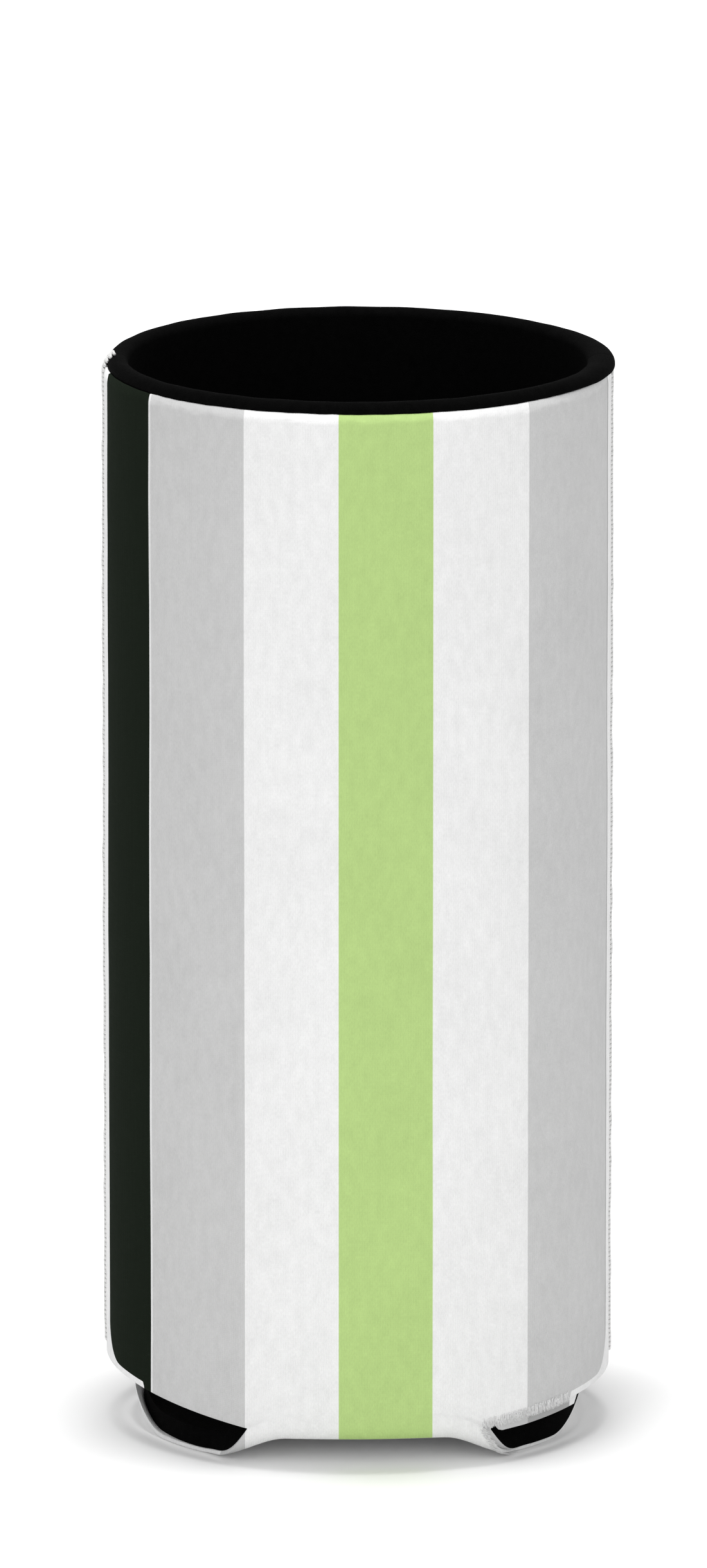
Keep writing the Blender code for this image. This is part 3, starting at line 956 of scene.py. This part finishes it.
def seam_path(side):
    """Points of one thread that goes back and forth over the seam as it climbs it."""
    foot = panel_edge_height(side * QUARTER_TURN) - SEAM_BELOW_EDGE
    top = COVER_TOP - SEAM_BELOW_RIM
    if side < 0:
        top = RIM_TURN_FROM + RIM_TURN_RADIUS * RIM_TURN_END
    crossings = int((top - foot) / CROSSING_PITCH)
    rng = random.Random(7 + side)
    points = []
    for crossing in range(crossings):
        direction = 1 if crossing % 2 == 0 else -1
        reach = SEAM_WIDTH / 2 * (1.0 + rng.uniform(-REACH_VARIES, REACH_VARIES))
        jitter = rng.uniform(-PITCH_VARIES, PITCH_VARIES) * CROSSING_PITCH
        for step in range(CROSSING_STEPS):
            share = step / CROSSING_STEPS
            along = direction * reach * math.cos(math.pi * share)
            run = foot + (crossing + share) * CROSSING_PITCH + jitter * math.sin(math.pi * share)
            depth, height, tilt = seam_track(side, run)
            spread = SEAM_WIDTH / 2 * CROSSING_SPREAD
            arch = math.sqrt(max(1.0 - (along / spread) ** 2, 0.0))
            proud = THREAD_SUNK + THREAD_PROUD * arch + RIM_TURN_PROUD * math.sin(tilt)
            turn = side * QUARTER_TURN + along / WALL_RADIUS
            radius = WALL_RADIUS - depth + wall_swell(turn, height) + proud * math.cos(tilt)
            height += proud * math.sin(tilt)
            points.append(Vector((radius * math.sin(turn), -radius * math.cos(turn), height)))
    return points


def thread_tube(name, points, radius):
    """A thread of round section along a row of points, mapped by its length for the twist."""
    mesh = bmesh.new()
    twist = mesh.loops.layers.uv.new("thread")
    rings = []
    lengths = [0.0]
    for before, after in zip(points, points[1:]):
        lengths.append(lengths[-1] + (after - before).length)
    for index, point in enumerate(points):
        beside, above = across_thread(points, index)
        ring = []
        for side in range(THREAD_SIDES):
            turn = math.tau * side / THREAD_SIDES
            offset = radius * (beside * math.cos(turn) + above * math.sin(turn))
            ring.append(mesh.verts.new(point + offset))
        rings.append(ring)
    for index, (ring, following) in enumerate(zip(rings, rings[1:])):
        for side in range(THREAD_SIDES):
            after = (side + 1) % THREAD_SIDES
            face = mesh.faces.new((ring[side], ring[after], following[after], following[side]))
            steps = (side, side + 1, side + 1, side)
            runs = (lengths[index], lengths[index], lengths[index + 1], lengths[index + 1])
            for loop, step, run in zip(face.loops, steps, runs):
                loop[twist].uv = (run / MILLIMETRE, step / THREAD_SIDES)
    mesh.faces.new(rings[0])
    mesh.faces.new(rings[-1])
    bmesh.ops.recalc_face_normals(mesh, faces=mesh.faces)
    return new_piece(name, mesh)


def seam_thread():
    """Off-white sewing thread with a slight lustre and a fine twist."""
    material, tree, shader = new_finish("seam_thread", 0.6, 0.25)
    run = tree.nodes.new("ShaderNodeUVMap")
    run.uv_map = "thread"
    axes = tree.nodes.new("ShaderNodeSeparateXYZ")
    tree.links.new(run.outputs[0], axes.inputs[0])
    twist = TWIST_PER_MILLIMETRE
    spiral = reckon(tree, "MULTIPLY_ADD", axes.outputs[0], twist, axes.outputs[1])
    ply = reckon(tree, "SINE", reckon(tree, "MULTIPLY", spiral, 2 * math.tau))
    share = reckon(tree, "MULTIPLY_ADD", ply, 0.5, 0.5)
    colour = blend_colours(tree, "MIX", share, screen(219, 219, 218), screen(236, 236, 235))
    tree.links.new(colour, shader.inputs["Base Color"])
    emboss(tree, shader, share, PLY_DEPTH, 0.7)
    return material


thread_finish = seam_thread()
for seam_name, seam_side in (("left", -1), ("right", 1)):
    stitches = thread_tube(f"stitches_{seam_name}", seam_path(seam_side), THREAD_RADIUS)
    stitches.data.materials.append(thread_finish)
    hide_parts(f"side_seam_{seam_name}")
    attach(stitches, "root")


# Table top: a broad white sheet that takes the soft shadow under the sleeve and runs out to
# plain white behind it. Its glow is held low near the sleeve, a painted shadow round the foot.
TABLE_HALF = 3.0
FLOOR_DROP = 0.00005
GLOW_IN_PAINTED_SHADOW = 0.06
GLOW_FAR = 0.45
PAINTED_SHADOW_FADES_FROM = 0.030
PAINTED_SHADOW_GONE_AT = 0.060


def seen_by_eye(tree):
    """1 where the camera looks, straight or by way of a gloss, and 0 for light on its way."""
    rays = tree.nodes.new("ShaderNodeLightPath")
    seen = reckon(tree, "MAXIMUM", rays.outputs["Is Camera Ray"], rays.outputs["Is Glossy Ray"])
    return reckon(tree, "MAXIMUM", seen, rays.outputs["Is Transmission Ray"])


def table_finish():
    """White paper that keeps the shadow, deepened by a painted shadow near the sleeve, white further
    out.
    """
    material, tree, shader = new_finish("white_table", 0.9, 0.0)
    shader.inputs["Base Color"].default_value = (0.95, 0.95, 0.95, 1.0)
    seen = seen_by_eye(tree)
    where = tree.nodes.new("ShaderNodeTexCoord")
    away = tree.nodes.new("ShaderNodeVectorMath")
    away.operation = "LENGTH"
    tree.links.new(where.outputs["Object"], away.inputs[0])
    # Painted shadow: the glow stays low within a few centimetres of the sleeve and is full further
    # out
    far = ease(tree, away.outputs["Value"], PAINTED_SHADOW_FADES_FROM, PAINTED_SHADOW_GONE_AT)
    level = reckon(tree, "MULTIPLY_ADD", far, GLOW_FAR - GLOW_IN_PAINTED_SHADOW, GLOW_IN_PAINTED_SHADOW)
    glow = reckon(tree, "MULTIPLY", seen, level)
    tree.links.new(glow, shader.inputs["Emission Strength"])
    shader.inputs["Emission Color"].default_value = (1.0, 1.0, 1.0, 1.0)
    return material


table_mesh = bmesh.new()
bmesh.ops.create_grid(table_mesh, x_segments=8, y_segments=8, size=TABLE_HALF)
bmesh.ops.translate(table_mesh, verts=table_mesh.verts, vec=(0.0, 0.0, -FLOOR_DROP))
table_data = bpy.data.meshes.new("table_top")
table_mesh.to_mesh(table_data)
table_mesh.free()
table_top = bpy.data.objects.new("table_top", table_data)
bpy.context.scene.collection.objects.link(table_top)
table_data.materials.append(table_finish())


# Studio light: an even white room, a broad panel overhead that picks out the rim and throws a
# soft shadow forward, and a soft panel at each side of the front.
ROOM_LEVEL = 0.56


def light_room():
    """White surroundings, plain white to the eye and gentler as a light."""
    world = bpy.data.worlds.new("white_room")
    bpy.context.scene.world = world
    world.use_nodes = True
    tree = world.node_tree
    background = tree.nodes["Background"]
    strength = reckon(tree, "MULTIPLY_ADD", seen_by_eye(tree), 1.0 - ROOM_LEVEL, ROOM_LEVEL)
    background.inputs["Color"].default_value = (1.0, 1.0, 1.0, 1.0)
    tree.links.new(strength, background.inputs["Strength"])


# Each panel's name, place, side length and power in watts. They face the middle of the sleeve.
SLEEVE_MIDDLE = Vector((0.0, 0.0, 0.07))
LIGHT_PANELS = (
    ("overhead_panel", Vector((-0.03, 0.05, 1.3)), 0.7, 9.5),
    ("front_left_panel", Vector((-0.9, -1.4, 0.9)), 0.8, 4.35),
    ("front_right_panel", Vector((1.0, -1.4, 0.9)), 0.8, 3.3),
)


def add_panel_light(name, place, size, power):
    """A square soft light that faces the sleeve."""
    data = bpy.data.lights.new(name, "AREA")
    data.shape = "SQUARE"
    data.size = size
    data.energy = power
    lamp = bpy.data.objects.new(name, data)
    lamp.location = place
    lamp.rotation_euler = (SLEEVE_MIDDLE - place).to_track_quat("-Z", "Y").to_euler()
    bpy.context.scene.collection.objects.link(lamp)


light_room()
for light_panel in LIGHT_PANELS:
    add_panel_light(*light_panel)


# Camera: a long lens a little above the sleeve, square to its front panel.
VIEW_RISE = math.radians(12.72)
VIEW_DISTANCE = 2.4
VIEW_TALL = 0.1948
VIEW_AIM = Vector((-0.00052, 0.0, 0.08048))
SENSOR = 36.0

camera_data = bpy.data.cameras.new("front_camera")
camera_data.sensor_width = SENSOR
camera_data.lens = SENSOR * VIEW_DISTANCE / VIEW_TALL
camera_data.clip_end = 20.0
camera = bpy.data.objects.new("front_camera", camera_data)
toward = Vector((0.0, -math.cos(VIEW_RISE), math.sin(VIEW_RISE)))
camera.location = VIEW_AIM + VIEW_DISTANCE * toward
camera.rotation_euler = (-toward).to_track_quat("-Z", "Y").to_euler()
bpy.context.scene.collection.objects.link(camera)
bpy.context.scene.camera = camera
bpy.context.scene.view_settings.view_transform = "Standard"
